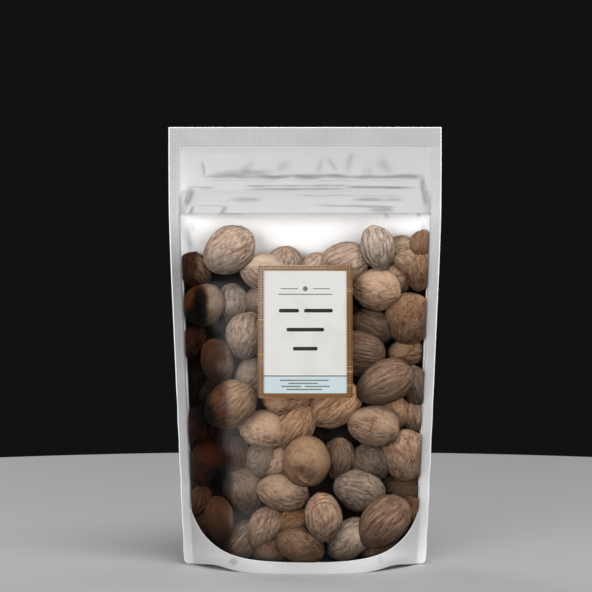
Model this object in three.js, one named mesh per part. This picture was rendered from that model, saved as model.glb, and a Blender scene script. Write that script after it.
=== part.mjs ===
// A stand-up pouch filled with whole nutmegs, with a printed label on its front.
// Millimetres, +Z up. The pouch stands on its gusset at z = 0, its front faces -Y,
// and the origin is the centre of its footprint.
//
// The pouch is two flat films welded along both sides and across the top, with a folded
// gusset welded in at the bottom. Filling it swells the films between the side seals into
// a cushion that is deepest at the base, thins slowly upwards and closes just below the zip.

import * as THREE from 'three';

// ---- Driving dimensions -------------------------------------------------------------

const POUCH_HEIGHT = 208;
const TOP_HALF_WIDTH = 65;
const BASE_HALF_WIDTH = 57.5; // filling draws the side edges in towards the base
const TAPER_TOP = 165; // the side edges run straight up from about here
const TAPER_BEND = 8; // how softly they bend there

const SIDE_SEAL = 5.2;
const BASE_SIDE_SEAL = 4.3;
const TOP_SEAL = 9;
const SEAL_THICKNESS = 0.5;
const CORNER_RADIUS = 2.5; // rounding of the lower corners of the side seals

const FILL_HALF_DEPTH = 29.75; // each film stands this far out from its seals at the base
const FILL_TOP = 178; // height where the cushion has run out
const FILL_TAPER = 0.42; // share of the depth that it loses on the way up
const FILL_RISE = 5; // how late it closes
const FILL_CLOSE = 0.6; // how bluntly it closes

// A film's plan shape is (1 - |u|^power)^fullness, with u from 0 at the middle to 1 at a seal.
const PLAN_POWER = 4;
const PLAN_FULLNESS = 0.6;
const BASE_PLAN_POWER = 3;
const BASE_PLAN_FULLNESS = 1;
const PLAN_FADE = 14; // height over which the base's plan shape fades out

const HEADER_HALF_DEPTH = 1.1; // the two films and the air between them above the filling
const HEADER_BLEND = 4; // how sharply the cushion turns into the header
const ZIP_HEIGHT = 179.5;
const ZIP_RELIEF = 0.7;
const ZIP_HALF_BAND = 1.6;

const PUCKER_DEPTH = 0.7; // shallow folds that fan in from the side seals
const PUCKER_PITCH = 19;
const PUCKER_REACH = 0.16; // share of the half width that a pucker reaches in

const RIM_LIFT = 1.8; // the bottom weld rises here between its middle and the corners
const RIM_LIFT_AT = 42;
const RIM_LIFT_SPREAD = 8;
const RIM_HEIGHT = 8; // the lift has faded out at this height
const GROOVE_DEPTH = 3.5; // between the bottom weld and the gusset that it holds

const LABEL_WIDTH = 44;
const LABEL_HEIGHT = 61.6;
const LABEL_FOOT = 80.4;
const LABEL_CORNER = 1.2;
const LABEL_THICKNESS = 0.3;
const LABEL_GAP = 0.3;

// Each ring of the underside is the base outline shrunk to a share, at a height.
const UNDERSIDE_RINGS = [
  { share: 0.984, height: 0, followsRim: true }, // inner edge of the weld
  { share: 0.962, height: GROOVE_DEPTH, followsRim: false },
  { share: 0.925, height: 0.35 * GROOVE_DEPTH, followsRim: false },
  { share: 0.88, height: 0, followsRim: false }, // the gusset lies flat from here in
];

const COLUMNS = 28; // cells across a film between its side seals
const CUSHION_ROWS = 30;
const ROW_CROWDING = 1.3; // above 1 puts the rows closer together towards the top

// ---- The pouch's form ---------------------------------------------------------------

const { clamp, lerp, smoothstep } = THREE.MathUtils;

/** How far a height lies down the taper: 0 in the straight part, 1 at the base. */
function taperShare(z) {
  return (TAPER_BEND * Math.log1p(Math.exp((TAPER_TOP - z) / TAPER_BEND))) / TAPER_TOP;
}

/** Half the pouch's width at a height: tapered below, straight above, lower corners round. */
function halfWidth(z) {
  const edge = lerp(TOP_HALF_WIDTH, BASE_HALF_WIDTH, taperShare(z));
  const below = Math.max(0, CORNER_RADIUS - z);
  const cornerInset = CORNER_RADIUS - Math.sqrt(CORNER_RADIUS ** 2 - below ** 2);
  return edge - cornerInset;
}

/** Half the width between the inner edges of the side seals. */
function innerHalfWidth(z) {
  const share = taperShare(z);
  return lerp(TOP_HALF_WIDTH, BASE_HALF_WIDTH, share) - lerp(SIDE_SEAL, BASE_SIDE_SEAL, share);
}

/** How far the middle of a film stands out from its seals at a height. */
function swell(z) {
  const taper = 1 - (FILL_TAPER * z) / FILL_TOP;
  const close = Math.max(0, 1 - (z / FILL_TOP) ** FILL_RISE) ** FILL_CLOSE;
  const sealStart = POUCH_HEIGHT - TOP_SEAL;
  const header = HEADER_HALF_DEPTH * (1 - smoothstep(z, sealStart - 4, sealStart));
  const zip = ZIP_RELIEF * Math.exp(-(((z - ZIP_HEIGHT) / ZIP_HALF_BAND) ** 2));
  const cushion = FILL_HALF_DEPTH * taper * close;
  return (cushion ** HEADER_BLEND + header ** HEADER_BLEND) ** (1 / HEADER_BLEND) + zip;
}

/** A film's distance from the pouch's middle plane at width x and height z. */
function filmDepth(x, z) {
  const u = clamp(Math.abs(x) / innerHalfWidth(z), 0, 1);
  const baseShare = Math.exp(-z / PLAN_FADE);
  const power = lerp(PLAN_POWER, BASE_PLAN_POWER, baseShare);
  const plan = (1 - u ** power) ** lerp(PLAN_FULLNESS, BASE_PLAN_FULLNESS, baseShare);
  const fromSeal = (1 - u) / PUCKER_REACH;
  const filled = 1 - smoothstep(z, 0.75 * FILL_TOP, FILL_TOP);
  const pucker = PUCKER_DEPTH * filled * fromSeal * Math.exp(1 - fromSeal)
    * Math.cos((2 * Math.PI * z) / PUCKER_PITCH);
  return SEAL_THICKNESS / 2 + Math.max(0, swell(z) * plan + pucker * clamp(z / RIM_HEIGHT, 0, 1));
}

/** How far the bottom weld is lifted at width x. */
function rimLift(x) {
  return RIM_LIFT * Math.exp(-(((Math.abs(x) - RIM_LIFT_AT) / RIM_LIFT_SPREAD) ** 2));
}

/** Widths of a film's points at height z, from the left edge to the right one. */
function columnsAt(z) {
  const inner = innerHalfWidth(z);
  const between = Array.from({ length: COLUMNS + 1 }, (_, k) => -inner * Math.cos((Math.PI * k) / COLUMNS));
  return [-halfWidth(z), ...between, halfWidth(z)];
}

/** One closed section, counter-clockwise from above: the front left to right, then the back. */
function sectionAt(z) {
  const liftShare = 1 - clamp(z / RIM_HEIGHT, 0, 1);
  const front = columnsAt(z).map(
    (x) => new THREE.Vector3(x, -filmDepth(x, z), z + liftShare * rimLift(x)),
  );
  const back = front.map((p) => new THREE.Vector3(p.x, -p.y, p.z)).reverse();
  return [...front, ...back];
}

/** Heights of the sections: close together where the form turns quickly. */
function sectionHeights() {
  const foot = [0, 0.3 * CORNER_RADIUS, CORNER_RADIUS, 0.6 * RIM_HEIGHT];
  const cushionTop = ZIP_HEIGHT - 2 * ZIP_HALF_BAND;
  const cushion = Array.from(
    { length: CUSHION_ROWS },
    (_, k) => lerp(cushionTop, RIM_HEIGHT, (1 - k / CUSHION_ROWS) ** ROW_CROWDING),
  );
  const zip = [-2, -1, -0.5, 0, 0.5, 1, 2].map((k) => ZIP_HEIGHT + k * ZIP_HALF_BAND);
  const sealStart = POUCH_HEIGHT - TOP_SEAL;
  const header = [sealStart - 10, sealStart - 4, sealStart - 2, sealStart, POUCH_HEIGHT];
  return [...foot, ...cushion, ...zip, ...header];
}

// ---- Meshes from sections -----------------------------------------------------------

/** A closed BufferGeometry from points and triangles. */
function closedGeometry(points, triangles) {
  const geometry = new THREE.BufferGeometry();
  geometry.setAttribute('position', new THREE.Float32BufferAttribute(points.flatMap((p) => p.toArray()), 3));
  geometry.setIndex(triangles.flat());
  geometry.computeVertexNormals();
  return geometry;
}

/** Two triangles that fill the quad a, b, c, d. */
function quad(a, b, c, d) {
  return [[a, b, c], [a, c, d]];
}

/** The filled pouch: stacked sections, a flat strip over the top, and the grooved gusset below. */
function pouchGeometry() {
  const sections = sectionHeights().map(sectionAt);
  const points = sections.flat();
  const size = sections[0].length;
  const half = size / 2;
  const triangles = [];

  for (let row = 0; row + 1 < sections.length; row += 1) {
    for (let k = 0; k < size; k += 1) {
      const next = (k + 1) % size;
      const low = row * size;
      const high = low + size;
      triangles.push(...quad(low + k, low + next, high + next, high + k));
    }
  }

  const top = (sections.length - 1) * size;
  for (let k = 0; k + 1 < half; k += 1) {
    triangles.push(...quad(top + k, top + k + 1, top + size - 2 - k, top + size - 1 - k));
  }

  // The side seals end in a flat edge each; the rings lie between them.
  triangles.push(...quad(0, size - 1, size - 2, 1));
  triangles.push(...quad(half - 2, half + 1, half, half - 1));
  const isBetweenSeals = (k) => k > 0 && k < size - 1 && k !== half - 1 && k !== half;
  let ring = sections[0].map((_, k) => k).filter(isBetweenSeals);
  const outline = ring.map((k) => points[k]);
  for (const { share, height, followsRim } of UNDERSIDE_RINGS) {
    const first = points.length;
    points.push(...outline.map(
      (p) => new THREE.Vector3(p.x * share, p.y * share, followsRim ? p.z : height),
    ));
    const inner = outline.map((_, k) => first + k);
    ring.forEach((_, k) => {
      const next = (k + 1) % ring.length;
      triangles.push(...quad(inner[k], inner[next], ring[next], ring[k]));
    });
    ring = inner;
  }
  const centre = points.length;
  points.push(new THREE.Vector3(0, 0, 0));
  ring.forEach((k, at) => triangles.push([centre, ring[(at + 1) % ring.length], k]));

  return closedGeometry(points, triangles);
}

// ---- The label ----------------------------------------------------------------------

/** Heights of the label's rows above its foot, with extra rows round its corners. */
function labelRows() {
  const corner = [0, 0.15, 0.45, 1].map((share) => share * LABEL_CORNER);
  const rowsBetween = 12;
  const middle = Array.from(
    { length: rowsBetween - 1 },
    (_, k) => lerp(LABEL_CORNER, LABEL_HEIGHT - LABEL_CORNER, (k + 1) / rowsBetween),
  );
  return [...corner, ...middle, ...corner.map((h) => LABEL_HEIGHT - h).reverse()];
}

/** Half the label's width at a height above its foot: straight sides and round corners. */
function labelHalfWidth(height) {
  const fromEnd = Math.min(height, LABEL_HEIGHT - height);
  const below = Math.max(0, LABEL_CORNER - fromEnd);
  return LABEL_WIDTH / 2 - LABEL_CORNER + Math.sqrt(LABEL_CORNER ** 2 - below ** 2);
}

/** A thin sheet that follows the front film, just clear of it. */
function labelGeometry() {
  const rows = labelRows();
  const columns = 14;
  const layerOf = (clearance) => rows.flatMap((height) => Array.from(
    { length: columns + 1 },
    (_, k) => {
      const x = labelHalfWidth(height) * ((2 * k) / columns - 1);
      const z = LABEL_FOOT + height;
      return new THREE.Vector3(x, -filmDepth(x, z) - clearance, z);
    },
  ));
  const points = [...layerOf(LABEL_GAP + LABEL_THICKNESS), ...layerOf(LABEL_GAP)];
  const stride = columns + 1;
  const layer = rows.length * stride;
  const triangles = [];
  for (let row = 0; row + 1 < rows.length; row += 1) {
    for (let k = 0; k < columns; k += 1) {
      const at = row * stride + k;
      triangles.push(...quad(at, at + 1, at + stride + 1, at + stride));
      triangles.push(...quad(layer + at, layer + at + stride, layer + at + stride + 1, layer + at + 1));
    }
    const left = row * stride;
    const right = left + columns;
    triangles.push(...quad(left, left + stride, layer + left + stride, layer + left));
    triangles.push(...quad(right, layer + right, layer + right + stride, right + stride));
  }
  const last = (rows.length - 1) * stride;
  for (let k = 0; k < columns; k += 1) {
    triangles.push(...quad(k, layer + k, layer + k + 1, k + 1));
    const at = last + k;
    triangles.push(...quad(at, at + 1, layer + at + 1, layer + at));
  }
  return closedGeometry(points, triangles);
}

// ---- Materials and the assembled pouch ----------------------------------------------

const film = new THREE.MeshStandardMaterial({ color: 0xd8d6d6, roughness: 0.32, metalness: 0.15 });
const labelPaper = new THREE.MeshStandardMaterial({ color: 0xe8e4dd, roughness: 0.55, metalness: 0 });

function named(name, geometry, material) {
  const mesh = new THREE.Mesh(geometry, material);
  mesh.name = name;
  return mesh;
}

const nutmegPouch = new THREE.Group();
nutmegPouch.name = 'nutmeg_pouch';
nutmegPouch.add(named('pouch', pouchGeometry(), film));
nutmegPouch.add(named('label', labelGeometry(), labelPaper));

export default nutmegPouch;
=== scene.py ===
"""A stand-up pouch of whole nutmegs: satin film with a clear window, knurled welds, a press zip,
a label on the front, and the nutmegs that lie behind the window.

The pouch stands on its gusset at z = 0 and faces -Y. Shapes are worked out in millimetres and
turned into metres when a mesh is made.
"""

from collections import namedtuple

import bpy
import numpy as np
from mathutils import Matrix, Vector


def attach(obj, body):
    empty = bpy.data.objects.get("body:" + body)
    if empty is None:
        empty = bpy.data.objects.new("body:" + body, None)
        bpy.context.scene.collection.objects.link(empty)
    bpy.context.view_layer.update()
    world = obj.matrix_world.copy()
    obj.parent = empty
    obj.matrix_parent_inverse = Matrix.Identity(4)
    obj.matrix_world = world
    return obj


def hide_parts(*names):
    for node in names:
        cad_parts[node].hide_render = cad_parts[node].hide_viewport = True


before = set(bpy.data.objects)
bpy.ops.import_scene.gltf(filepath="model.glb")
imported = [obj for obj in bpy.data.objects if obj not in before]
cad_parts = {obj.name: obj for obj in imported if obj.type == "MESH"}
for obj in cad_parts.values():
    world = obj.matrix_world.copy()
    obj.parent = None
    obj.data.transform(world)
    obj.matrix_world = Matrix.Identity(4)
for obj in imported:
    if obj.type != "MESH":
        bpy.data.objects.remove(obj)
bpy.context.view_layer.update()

MM = 0.001

# ---- The pouch's sizes, in millimetres ------------------------------------------------

HEIGHT = 208.0
TOP_HALF_WIDTH = 65.0
BASE_HALF_WIDTH = 57.5
TAPER_TOP = 165.0
TAPER_BEND = 8.0
SIDE_SEAL = 5.2
BASE_SIDE_SEAL = 4.3
TOP_SEAL = 9.0
SEAL_THICKNESS = 0.5
CORNER_RADIUS = 2.5

FILL_HALF_DEPTH = 29.75
FILL_TOP = 178.0
FILL_TAPER = 0.42
FILL_RISE = 5.0
FILL_CLOSE = 0.6
PLAN_POWER, PLAN_FULLNESS = 4.0, 0.6
BASE_PLAN_POWER, BASE_PLAN_FULLNESS = 3.0, 1.0
PLAN_FADE = 14.0

HEADER_HALF_DEPTH = 1.1
HEADER_BLEND = 2.0
PUCKER_DEPTH, PUCKER_PITCH, PUCKER_REACH = 0.7, 19.0, 0.16
RIM_LIFT, RIM_LIFT_AT, RIM_LIFT_SPREAD, RIM_HEIGHT = 1.8, 42.0, 8.0, 8.0
GROOVE_DEPTH = 3.5

WINDOW_TOP = 166.7
FILM_THICKNESS = 0.2
WINDOW_THICKNESS = 0.1
GUSSET_THICKNESS = 0.15

LABEL_WIDTH, LABEL_HEIGHT, LABEL_FOOT = 44.0, 61.6, 80.4
LABEL_CORNER = 1.2
LABEL_GAP = 0.3
LABEL_THICKNESS = 0.25
LABEL_BORDER = 2.75
KNOT_INSET = 0.75  # from the label's edge to its outer row of knots
LABEL_STRIP_FOOT, LABEL_STRIP_TOP = 2.2, 10.1
LABEL_STEP = 1.2  # between the points of a printed field
KNURL_PITCH = 1.15
INK = 0.03
WINDOW_SHINE = 0.032  # share of the window film that isn't see-through

NUT_ROWS, NUT_COLUMNS = 52, 104
HIDDEN_ROWS, HIDDEN_COLUMNS = 30, 54
FRONT_CROWDING = 0.45  # how much closer a nut's columns lie on its shown side
FILM_CLEARANCE = 0.9
END_BALL = 0.82  # a nut is placed as three balls, the outer ones this share of the middle one
FLATTEST, ROUNDEST = 0.45, 0.92  # a nut's depth as a share of its width
NUT_TOUCH = 0.55  # nuts that lie one behind the other press this much closer than round ones
DEEPEST = 14.0  # a shown nut lies at most this much further back than the film would let it
LOW_NUTS = 85.0  # below this height a nut of the filling may sink further into the others
OVERLAP_LOW, OVERLAP_HIGH = 12.0, 7.0
SPARE_TURNS = 150  # yaws drawn for the nuts that aren't laid out one by one
CORE_HALF_WIDTH = 52.0  # at mid height, where its top is read off the nuts
# The heap's dark middle is a sheet of painted shade.
CORE_BEHIND = 31.0  # the dark middle of the heap begins this far behind the front film
CORE_DROP, CORE_FOOT = 9.0, 2.5
CORE_COLUMNS, CORE_ROWS = 91, 81

EYE_DISTANCE = 834.0
EYE_HEIGHT = 127.6
EYE_OFFSET = -4.3
LAYOUT_PLANE = 20.0  # the layout is as seen on the plane this far in front of the middle

FLOOR_RADIUS, FLOOR_SIDES, FLOOR_DROP = 600.0, 128, 0.05

rng = np.random.default_rng(7)


# ---- Curves and noise -------------------------------------------------------------------

def smoothstep(value, low, high):
    """0 below low, 1 above high, and the cubic 3t^2 - 2t^3 between."""
    share = np.clip((value - low) / (high - low), 0.0, 1.0)
    return share * share * (3.0 - 2.0 * share)


def bell(value, middle, spread):
    """A bump of height 1 at middle that fades as exp(-(distance / spread)^2)."""
    return np.exp(-(((value - middle) / spread) ** 2))


LATTICE_TURN = rng.permutation(256)
LATTICE_SLOPE = rng.normal(size=(256, 3))
LATTICE_SLOPE /= np.linalg.norm(LATTICE_SLOPE, axis=1, keepdims=True)


def noise(points):
    """Smooth noise from about -1 to 1: a random slope at each whole-number point of space,
    blended inside each cell by the fade 6t^5 - 15t^4 + 10t^3."""
    cell = np.floor(points).astype(np.int64)
    inside = points - cell
    fade = inside**3 * (inside * (inside * 6.0 - 15.0) + 10.0)
    total = np.zeros(points.shape[:-1])
    for corner in np.ndindex(2, 2, 2):
        at = (cell + corner) & 255
        turn = LATTICE_TURN[(LATTICE_TURN[(LATTICE_TURN[at[..., 0]] + at[..., 1]) & 255] + at[..., 2]) & 255]
        rise = np.sum(LATTICE_SLOPE[turn] * (inside - corner), axis=-1)
        weight = np.prod(np.where(corner, fade, 1.0 - fade), axis=-1)
        total += rise * weight
    return 1.6 * total


def noise_on_plane(x, z, scale, layer=0.0):
    """The same noise read on an upright plane, with features about scale millimetres wide."""
    return noise(np.stack([x / scale, np.full_like(x, 3.7 * layer + 0.5), z / scale], axis=-1))


# ---- The pouch's form -------------------------------------------------------------------

def taper_share(z):
    """0 where the side edges run straight up, 1 at the base, bending softly at TAPER_TOP."""
    return TAPER_BEND * np.log1p(np.exp((TAPER_TOP - z) / TAPER_BEND)) / TAPER_TOP


def half_width(z):
    """The side edges: a straight taper, with round lower corners."""
    edge = TOP_HALF_WIDTH + (BASE_HALF_WIDTH - TOP_HALF_WIDTH) * taper_share(z)
    below = np.clip(CORNER_RADIUS - z, 0.0, CORNER_RADIUS)
    return edge - CORNER_RADIUS + np.sqrt(CORNER_RADIUS**2 - below**2)


def inner_half_width(z):
    """The inner edges of the side welds, which narrow a little towards the base."""
    share = taper_share(z)
    edge = TOP_HALF_WIDTH + (BASE_HALF_WIDTH - TOP_HALF_WIDTH) * share
    return edge - SIDE_SEAL - (BASE_SIDE_SEAL - SIDE_SEAL) * share


def swell(z):
    """How far the middle of a film stands out at height z: over the filling it tapers and then
    closes as (1 - (z / top)^rise)^close; above is the thin header, which closes at the top weld.
    The two join as the root of the sum of their squares."""
    close = np.clip(1.0 - (z / FILL_TOP) ** FILL_RISE, 0.0, 1.0) ** FILL_CLOSE
    cushion = FILL_HALF_DEPTH * (1.0 - FILL_TAPER * z / FILL_TOP) * close
    seal_start = HEIGHT - TOP_SEAL
    header = HEADER_HALF_DEPTH * (1.0 - smoothstep(z, seal_start - 4.0, seal_start))
    return (cushion**HEADER_BLEND + header**HEADER_BLEND) ** (1.0 / HEADER_BLEND)


def film_depth(x, z):
    """A film's distance from the middle plane: swell(z) times the plan shape
    (1 - |u|^power)^fullness, and shallow puckers beside the welds."""
    u = np.clip(np.abs(x) / inner_half_width(z), 0.0, 1.0)
    base = np.exp(-z / PLAN_FADE)
    power = PLAN_POWER + (BASE_PLAN_POWER - PLAN_POWER) * base
    fullness = PLAN_FULLNESS + (BASE_PLAN_FULLNESS - PLAN_FULLNESS) * base
    plan = (1.0 - u**power) ** fullness
    from_seal = (1.0 - u) / PUCKER_REACH
    filled = 1.0 - smoothstep(z, 0.75 * FILL_TOP, FILL_TOP)
    pucker = PUCKER_DEPTH * filled * from_seal * np.exp(1.0 - from_seal)
    pucker = pucker * np.cos(2.0 * np.pi * z / PUCKER_PITCH) * np.clip(z / RIM_HEIGHT, 0.0, 1.0)
    return SEAL_THICKNESS / 2 + np.maximum(0.0, swell(z) * plan + pucker)


def rim_lift(x):
    """The bottom weld stands clear of the shelf between its middle and the corners."""
    return RIM_LIFT * bell(np.abs(x), RIM_LIFT_AT, RIM_LIFT_SPREAD)


def window_foot(x):
    """Height of the window's U-shaped lower edge: nearly level in the middle, then rising as
    the square of the distance from the middle, and as its sixth power close to the welds."""
    side = np.abs(x)
    return 5.2 + 3.0 * (side / 45.0) ** 2 + 12.9 * (side / 52.0) ** 6


# ---- Making meshes ----------------------------------------------------------------------

def mesh_piece(name, points, quads, triangles=(), smooth=True):
    """A mesh object at the origin from points in millimetres and their faces."""
    quads = np.asarray(quads, np.int32).reshape(-1, 4)
    triangles = np.asarray(triangles, np.int32).reshape(-1, 3)
    corners = np.concatenate([quads.ravel(), triangles.ravel()])
    sizes = np.concatenate([np.full(len(quads), 4), np.full(len(triangles), 3)])
    mesh = bpy.data.meshes.new(name)
    mesh.vertices.add(len(points))
    mesh.loops.add(len(corners))
    mesh.polygons.add(len(sizes))
    mesh.vertices.foreach_set("co", (np.asarray(points) * MM).astype(np.float32).ravel())
    mesh.loops.foreach_set("vertex_index", corners)
    mesh.polygons.foreach_set("loop_start", np.concatenate([[0], np.cumsum(sizes)[:-1]]).astype(np.int32))
    mesh.update(calc_edges=True)
    mesh.validate()
    if smooth:
        mesh.shade_smooth()
    piece = bpy.data.objects.new(name, mesh)
    bpy.context.scene.collection.objects.link(piece)
    return piece


def grid_faces(rows, columns, first=0):
    """Quads of a rows x columns grid of points; they face -Y when columns run to +X and rows up."""
    index = first + np.arange(rows * columns).reshape(rows, columns)
    return np.stack([index[:-1, :-1], index[:-1, 1:], index[1:, 1:], index[1:, :-1]], axis=-1)


def thicken(piece, thickness):
    """Gives a sheet its thickness, inwards from the modelled face."""
    wall = piece.modifiers.new("thickness", "SOLIDIFY")
    wall.thickness = thickness * MM
    wall.offset = -1.0
    wall.use_rim = True
    return wall


def give_attribute(piece, name, values, kind):
    """Stores one value for each point: FLOAT, FLOAT_VECTOR or FLOAT_COLOR."""
    layer = piece.data.attributes.new(name, kind, "POINT")
    key = {"FLOAT": "value", "FLOAT_VECTOR": "vector", "FLOAT_COLOR": "color"}[kind]
    layer.data.foreach_set(key, np.asarray(values, np.float32).ravel())


def carry(piece, slot, *nodes):
    """The piece belongs to the pouch and is attached to its root, and the given CAD nodes are hidden; slot is
    not used.
    """
    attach(piece, "root")
    if nodes:
        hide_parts(*nodes)
    return piece


# ---- Building materials -----------------------------------------------------------------

def new_finish(name, colour, roughness, **sockets):
    """A material of one Principled shader with its constant values set on its own sockets."""
    material = bpy.data.materials.new(name)
    material.use_nodes = True
    shader = material.node_tree.nodes["Principled BSDF"]
    shader.inputs["Base Color"].default_value = (*colour, 1.0)
    shader.inputs["Roughness"].default_value = roughness
    for socket, value in sockets.items():
        shader.inputs[socket.replace("_", " ")].default_value = value
    return material, material.node_tree, shader


def add(tree, kind, **settings):
    """A node with its settings; names that are sockets are set as their default values."""
    made = tree.nodes.new("ShaderNode" + kind)
    for key, value in settings.items():
        socket = key.replace("_", " ")
        if hasattr(made, key):
            setattr(made, key, value)
        else:
            made.inputs[socket].default_value = value
    return made


def wire(tree, source, target):
    """Joins an output to an input."""
    tree.links.new(source, target)


def place_of(tree):
    """The piece's Object coordinates, on which its patterns are read."""
    return add(tree, "TexCoord").outputs["Object"]


def attribute_of(tree, name, output="Fac"):
    """An attribute of the piece, as its Fac, Color or Vector."""
    return add(tree, "Attribute", attribute_name=name).outputs[output]


def split(tree, vector):
    """The X, Y and Z outputs of a vector."""
    made = add(tree, "SeparateXYZ")
    wire(tree, vector, made.inputs["Vector"])
    return made.outputs


def scaled(tree, place, scale):
    """A place multiplied by scale along each axis."""
    made = add(tree, "Mapping")
    made.inputs["Scale"].default_value = scale
    wire(tree, place, made.inputs["Vector"])
    return made.outputs["Vector"]


def noise_of(tree, place, scale, detail=3.0, roughness=0.55, distortion=0.0):
    """Cloudy noise from 0 to 1, read at place times scale."""
    made = add(tree, "TexNoise", Scale=scale, Detail=detail, Roughness=roughness, Distortion=distortion)
    wire(tree, place, made.inputs["Vector"])
    return made.outputs["Fac"]


def ramp(tree, source, stops):
    """Maps 0..1 through stops of (position, grey or colour)."""
    made = add(tree, "ValToRGB")
    elements = made.color_ramp.elements
    while len(elements) < len(stops):
        elements.new(0.5)
    for element, (position, colour) in zip(elements, stops):
        element.position = position
        rgb = (colour,) * 3 if isinstance(colour, (int, float)) else colour
        element.color = (*rgb, 1.0)
    wire(tree, source, made.inputs["Fac"])
    return made.outputs["Color"]


def blend(tree, share, first, second, mode="MIX"):
    """Mixes two colours; share, first and second are sockets or constants."""
    made = add(tree, "Mix", data_type="RGBA", blend_type=mode)
    for key, value in ((0, share), (6, first), (7, second)):
        if isinstance(value, bpy.types.NodeSocket):
            wire(tree, value, made.inputs[key])
        else:
            made.inputs[key].default_value = value if key == 0 else (*value, 1.0)
    return made.outputs[2]


def tinted(tree, share, colour, tint):
    """The colour multiplied by tint, as far as share says."""
    return blend(tree, share, colour, tint, "MULTIPLY")


def maths(tree, operation, first, second=0.0, third=0.0):
    """One sum; first, second and third are sockets or constants."""
    made = add(tree, "Math", operation=operation)
    for key, value in enumerate((first, second, third)):
        if isinstance(value, bpy.types.NodeSocket):
            wire(tree, value, made.inputs[key])
        else:
            made.inputs[key].default_value = value
    return made.outputs["Value"]


def roughen(tree, shader, height, distance, strength=1.0):
    """Bump from a height, distance in millimetres at full height."""
    made = add(tree, "Bump", Distance=distance * MM, Strength=strength)
    wire(tree, height, made.inputs["Height"])
    wire(tree, made.outputs["Normal"], shader.inputs["Normal"])


# ---- Finishes ---------------------------------------------------------------------------

PER_METRE = 1.0 / MM  # a pattern of 1 mm has this scale on Object coordinates


def satin_film(name, colour, cloud, roughness=0.34, graded=False):
    """Pearly film: faint clouding of the colour, uneven gloss and very fine orange peel, and painted
    shade grey in its creases' grooves; a graded film also takes painted light and shade from its paleness
    attribute."""
    material, tree, shader = new_finish(name, colour, roughness, Specular_IOR_Level=0.45)
    place = place_of(tree)
    clouding = noise_of(tree, place, PER_METRE / 26.0, detail=4.0)
    darker = tuple(c * (1.0 - cloud) for c in colour)
    tone = ramp(tree, clouding, [(0.3, darker), (0.7, colour)])
    # Painted shade: greyer in the grooves of the creases.
    fold = ramp(tree, attribute_of(tree, "fold"), [(0.0, 0.0), (1.0, 0.9)])
    tone = tinted(tree, fold, tone, (0.60, 0.60, 0.60))
    # Painted light and shade across the film.
    if graded:
        tone = tinted(tree, 1.0, tone, attribute_of(tree, "paleness", "Color"))
    wire(tree, tone, shader.inputs["Base Color"])
    gloss = noise_of(tree, place, PER_METRE / 9.0)
    gloss = ramp(tree, gloss, [(0.3, roughness - 0.07), (0.7, roughness + 0.09)])
    wire(tree, gloss, shader.inputs["Roughness"])
    roughen(tree, shader, noise_of(tree, place, PER_METRE / 0.9, detail=2.0), 0.02, 0.5)
    return material


def knurled_film():
    """A weld pressed by a knurled jaw: two crossed rows of fine lines, KNURL_PITCH apart. The
    side welds' lines are fainter towards the right, the top weld's aren't."""
    material, tree, shader = new_finish("weld_film", (0.37, 0.37, 0.37), 0.42, Specular_IOR_Level=0.4)
    place = place_of(tree)
    axes = split(tree, place)
    turns = 2.0 * np.pi * PER_METRE / KNURL_PITCH
    across, upward = (maths(tree, "SINE", maths(tree, "MULTIPLY", axes[key], turns)) for key in "XZ")
    height = maths(tree, "MULTIPLY_ADD", maths(tree, "MAXIMUM", across, upward), 0.5, 0.5)
    clouding = noise_of(tree, place, PER_METRE / 14.0)
    tone = ramp(tree, clouding, [(0.25, (0.40, 0.40, 0.40)), (0.75, (0.46, 0.46, 0.464))])
    strength = ramp(tree, maths(tree, "MULTIPLY_ADD", axes["X"], 5.0, 0.5), [(0.2, 1.0), (0.8, 0.35)])
    in_top_weld = maths(tree, "GREATER_THAN", axes["Z"], (HEIGHT - TOP_SEAL) * MM)
    strength = maths(tree, "MAXIMUM", strength, in_top_weld)
    share = maths(tree, "MULTIPLY", ramp(tree, height, [(0.45, 0.0), (1.0, 0.40)]), strength)
    pressed = blend(tree, share, tone, (0.20, 0.20, 0.203))
    # Painted light and shade across the welds.
    pressed = tinted(tree, 1.0, pressed, attribute_of(tree, "paleness", "Color"))
    wire(tree, pressed, shader.inputs["Base Color"])
    wire(tree, ramp(tree, clouding, [(0.3, 0.36), (0.7, 0.48)]), shader.inputs["Roughness"])
    roughen(tree, shader, height, 0.05, 0.6)
    return material


def clear_film():
    """The window: nearly all see-through, with a soft shine that grows where it is seen aslant."""
    material, tree, shader = new_finish("clear_window_film", (0.002, 0.002, 0.002), 0.26, IOR=1.85)
    through = add(tree, "BsdfTransparent")
    both = add(tree, "MixShader")
    both.inputs["Fac"].default_value = WINDOW_SHINE
    wire(tree, through.outputs["BSDF"], both.inputs[1])
    wire(tree, shader.outputs["BSDF"], both.inputs[2])
    wire(tree, both.outputs["Shader"], tree.nodes["Material Output"].inputs["Surface"])
    return material


def lines_of(tree, place, scale, width, detail=2.0, distortion=0.0):
    """Thin winding lines, 1 at their middle: where noise passes through its mean."""
    field = noise_of(tree, place, scale, detail=detail, roughness=0.5, distortion=distortion)
    off = maths(tree, "ABSOLUTE", maths(tree, "SUBTRACT", field, 0.5))
    return ramp(tree, off, [(0.0, 1.0), (width, 0.0)])


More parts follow.
